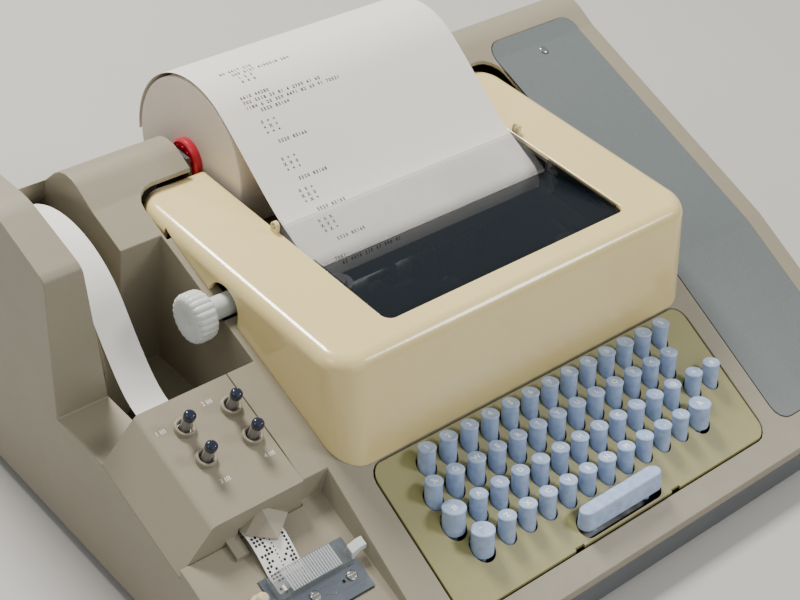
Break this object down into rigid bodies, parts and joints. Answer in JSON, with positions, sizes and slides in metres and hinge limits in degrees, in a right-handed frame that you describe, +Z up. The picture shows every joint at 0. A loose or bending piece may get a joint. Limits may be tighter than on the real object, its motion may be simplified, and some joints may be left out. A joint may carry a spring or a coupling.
{
  "type": "teleprinter",
  "caption": "Desk teleprinter with keyboard, paper roll printer under a cream lid, tape punch and tape reader beside it.",
  "frame": {"origin": "on the resting surface, under the middle of the base", "axes": "+X to the typist's right, +Y away from the typist to the rear, +Z up"},
  "size_m": [0.572, 0.47, 0.2307],
  "materials": {
    "cover_taupe": "fine textured taupe plastic with a soft sheen",
    "lid_cream": "glossy aged cream plastic",
    "panel_grey": "satin blue-grey enamel",
    "plate_olive": "satin olive enamel",
    "key_blue": "pale blue moulded keys with white figures",
    "button_blue": "dark glossy ball on a pale stem",
    "window_clear": "smoked clear plastic",
    "reader_clear": "clear ribbed plastic",
    "paper": "plain off-white paper",
    "tape": "plain white paper tape",
    "core_red": "red moulded core plug",
    "knob_milky": "milky white fluted plastic",
    "lever_cream": "cream plastic",
    "knob_black": "black plastic with a white pointer",
    "rubber": "matt black rubber",
    "steel": "plated steel",
    "dark_metal": "dark oiled metal",
    "pan_grey": "grey enamel",
    "motor_grey": "grey motor enamel",
    "nylon": "white nylon",
    "ribbon_black": "inked ribbon",
    "inner_black": "black moulded plastic"
  },
  "bodies": {
    "machine": {"main_cover": "cover_taupe", "base_pan": "pan_grey", "rubber_foot_front_left": "rubber", "rubber_foot_front_right": "rubber", "rubber_foot_rear_left": "rubber", "rubber_foot_rear_right": "rubber", "side_panel": "panel_grey", "panel_screw_rear": "steel", "panel_screw_front": "steel", "cable_bush": "rubber", "punch_cover": "cover_taupe", "punch_block": "dark_metal", "blank_tape": "tape", "punched_tape": "tape", "reader_plate": "steel", "reader_screw_left": "steel", "reader_screw_right": "steel", "printer_lid": "lid_cream", "printer_frame": "dark_metal", "carriage_rails": "steel", "ribbon": "ribbon_black", "paper_web": "paper", "motor": "motor_grey", "drive_belt": "rubber", "keyboard_plate": "plate_olive", "keyboard_frame": "dark_metal"},
    "mode_switch": {"mode_knob": "knob_black"},
    "release": {"release_button": "button_blue"},
    "punch_on": {"on_button": "button_blue"},
    "back_space": {"back_space_button": "button_blue"},
    "punch_off": {"off_button": "button_blue"},
    "tape_supply": {"tape_roll": "tape", "tape_hub": "inner_black"},
    "reader_cover": {"reader_lid": "reader_clear"},
    "reader_catch": {"reader_latch": "knob_milky"},
    "reader_switch": {"reader_lever": "lever_cream"},
    "window": {"window_lid": "window_clear"},
    "carriage": {"type_carriage": "dark_metal"},
    "type_cylinder": {"type_wheel": "steel"},
    "hammer": {"print_hammer": "steel"},
    "spool_left": {"ribbon_spool_left": "dark_metal"},
    "spool_right": {"ribbon_spool_right": "dark_metal"},
    "platen_roller": {"platen": "rubber", "platen_knob": "knob_milky", "platen_gear": "nylon"},
    "paper_supply": {"paper_roll": "paper", "roll_spindle": "core_red"},
    "rotor": {"motor_rotor": "steel"},
    "drive_shaft": {"main_shaft": "steel"},
    "row_1": {"type_keys_row_1": "key_blue"},
    "row_2": {"type_keys_row_2": "key_blue"},
    "row_3": {"type_keys_row_3": "key_blue"},
    "row_4": {"type_keys_row_4": "key_blue"},
    "line_feed": {"line_feed_key": "key_blue"},
    "return": {"return_key": "key_blue"},
    "control": {"control_key": "key_blue"},
    "break": {"break_key": "key_blue"},
    "shift_left": {"shift_key_left": "key_blue"},
    "shift_right": {"shift_key_right": "key_blue"},
    "space": {"space_bar": "key_blue"}
  },
  "joints": [
    {"name": "mode_knob_turn", "type": "hinge", "parent": "machine", "child": "mode_switch", "pos_m": [0.246, -0.198, 0.0496], "axis": [0, -0.4491, 0.8935], "range_deg": [-45, 45]},
    {"name": "release_press", "type": "slide", "parent": "machine", "child": "release", "axis": [0, 0.3278, -0.9447], "range_m": [0, 0.003], "stiffness_N_per_m": 120, "springref_m": -0.003},
    {"name": "punch_on_press", "type": "slide", "parent": "machine", "child": "punch_on", "axis": [0, 0.3278, -0.9447], "range_m": [0, 0.003], "stiffness_N_per_m": 120, "springref_m": -0.003},
    {"name": "back_space_press", "type": "slide", "parent": "machine", "child": "back_space", "axis": [0, 0.3278, -0.9447], "range_m": [0, 0.003], "stiffness_N_per_m": 120, "springref_m": -0.003},
    {"name": "punch_off_press", "type": "slide", "parent": "machine", "child": "punch_off", "axis": [0, 0.3278, -0.9447], "range_m": [0, 0.003], "stiffness_N_per_m": 120, "springref_m": -0.003},
    {"name": "tape_roll_spin", "type": "hinge", "parent": "machine", "child": "tape_supply", "pos_m": [-0.228, 0.122, 0.092], "axis": [1, 0, 0], "continuous": true},
    {"name": "reader_lid_swing", "type": "hinge", "parent": "machine", "child": "reader_cover", "pos_m": [-0.2445, -0.153, 0.06542], "axis": [0, -0.9409, -0.3387], "range_deg": [0, 100]},
    {"name": "reader_latch_press", "type": "hinge", "parent": "machine", "child": "reader_catch", "pos_m": [-0.1844, -0.147, 0.06638], "axis": [0, 0.9409, 0.3387], "range_deg": [0, 10], "stiffness_Nm_per_rad": 0.02, "springref_deg": -17.19},
    {"name": "reader_lever_turn", "type": "hinge", "parent": "machine", "child": "reader_switch", "pos_m": [-0.257, -0.146, 0.06372], "axis": [0, -0.3387, 0.9409], "range_deg": [-20, 20]},
    {"name": "window_swing", "type": "hinge", "parent": "machine", "child": "window", "pos_m": [0, 0.039, 0.177], "axis": [-1, 0, 0], "range_deg": [0, 75]},
    {"name": "carriage_slide", "type": "slide", "parent": "machine", "child": "carriage", "axis": [1, 0, 0], "range_m": [0, 0.18]},
    {"name": "type_wheel_spin", "type": "hinge", "parent": "carriage", "child": "type_cylinder", "pos_m": [-0.089, -0.0091, 0.124], "axis": [0, 0, 1], "continuous": true},
    {"name": "hammer_swing", "type": "hinge", "parent": "carriage", "child": "hammer", "pos_m": [-0.089, -0.032, 0.113], "axis": [1, 0, 0], "range_deg": [0, 10], "stiffness_Nm_per_rad": 0.03, "springref_deg": -11.46},
    {"name": "spool_left_spin", "type": "hinge", "parent": "machine", "child": "spool_left", "pos_m": [-0.086, -0.06, 0.126], "axis": [0, 0, 1], "continuous": true},
    {"name": "spool_right_spin", "type": "hinge", "parent": "machine", "child": "spool_right", "pos_m": [0.095, -0.06, 0.126], "axis": [0, 0, 1], "continuous": true},
    {"name": "platen_spin", "type": "hinge", "parent": "machine", "child": "platen_roller", "pos_m": [0, 0.02, 0.146], "axis": [1, 0, 0], "continuous": true},
    {"name": "paper_roll_spin", "type": "hinge", "parent": "machine", "child": "paper_supply", "pos_m": [0, 0.146, 0.168], "axis": [1, 0, 0], "continuous": true},
    {"name": "motor_spin", "type": "hinge", "parent": "machine", "child": "rotor", "pos_m": [0, 0.14, 0.058], "axis": [1, 0, 0], "continuous": true},
    {"name": "main_shaft_spin", "type": "hinge", "parent": "machine", "child": "drive_shaft", "pos_m": [0, 0.062, 0.07], "axis": [1, 0, 0], "continuous": true},
    {"name": "key_row_1_press", "type": "slide", "parent": "machine", "child": "row_1", "axis": [0, -0.1392, -0.9903], "range_m": [0, 0.004], "stiffness_N_per_m": 600, "springref_m": -0.003},
    {"name": "key_row_2_press", "type": "slide", "parent": "machine", "child": "row_2", "axis": [0, -0.1392, -0.9903], "range_m": [0, 0.004], "stiffness_N_per_m": 600, "springref_m": -0.003},
    {"name": "key_row_3_press", "type": "slide", "parent": "machine", "child": "row_3", "axis": [0, -0.1392, -0.9903], "range_m": [0, 0.004], "stiffness_N_per_m": 600, "springref_m": -0.003},
    {"name": "key_row_4_press", "type": "slide", "parent": "machine", "child": "row_4", "axis": [0, -0.1392, -0.9903], "range_m": [0, 0.004], "stiffness_N_per_m": 600, "springref_m": -0.003},
    {"name": "line_feed_key_press", "type": "slide", "parent": "machine", "child": "line_feed", "axis": [0, -0.1392, -0.9903], "range_m": [0, 0.004], "stiffness_N_per_m": 120, "springref_m": -0.003},
    {"name": "return_key_press", "type": "slide", "parent": "machine", "child": "return", "axis": [0, -0.1392, -0.9903], "range_m": [0, 0.004], "stiffness_N_per_m": 120, "springref_m": -0.003},
    {"name": "control_key_press", "type": "slide", "parent": "machine", "child": "control", "axis": [0, -0.1392, -0.9903], "range_m": [0, 0.004], "stiffness_N_per_m": 120, "springref_m": -0.003},
    {"name": "break_key_press", "type": "slide", "parent": "machine", "child": "break", "axis": [0, -0.1392, -0.9903], "range_m": [0, 0.004], "stiffness_N_per_m": 120, "springref_m": -0.003},
    {"name": "shift_left_key_press", "type": "slide", "parent": "machine", "child": "shift_left", "axis": [0, -0.1392, -0.9903], "range_m": [0, 0.004], "stiffness_N_per_m": 120, "springref_m": -0.003},
    {"name": "shift_right_key_press", "type": "slide", "parent": "machine", "child": "shift_right", "axis": [0, -0.1392, -0.9903], "range_m": [0, 0.004], "stiffness_N_per_m": 120, "springref_m": -0.003},
    {"name": "space_bar_press", "type": "slide", "parent": "machine", "child": "space", "axis": [0, -0.1392, -0.9903], "range_m": [0, 0.004], "stiffness_N_per_m": 200, "springref_m": -0.003}
  ],
  "couplings": [
    {"joint": "motor_spin", "follows": "main_shaft_spin", "ratio": 3},
    {"joint": "platen_spin", "follows": "paper_roll_spin", "ratio": 3.6364},
    {"joint": "spool_right_spin", "follows": "spool_left_spin", "ratio": 1}
  ]
}
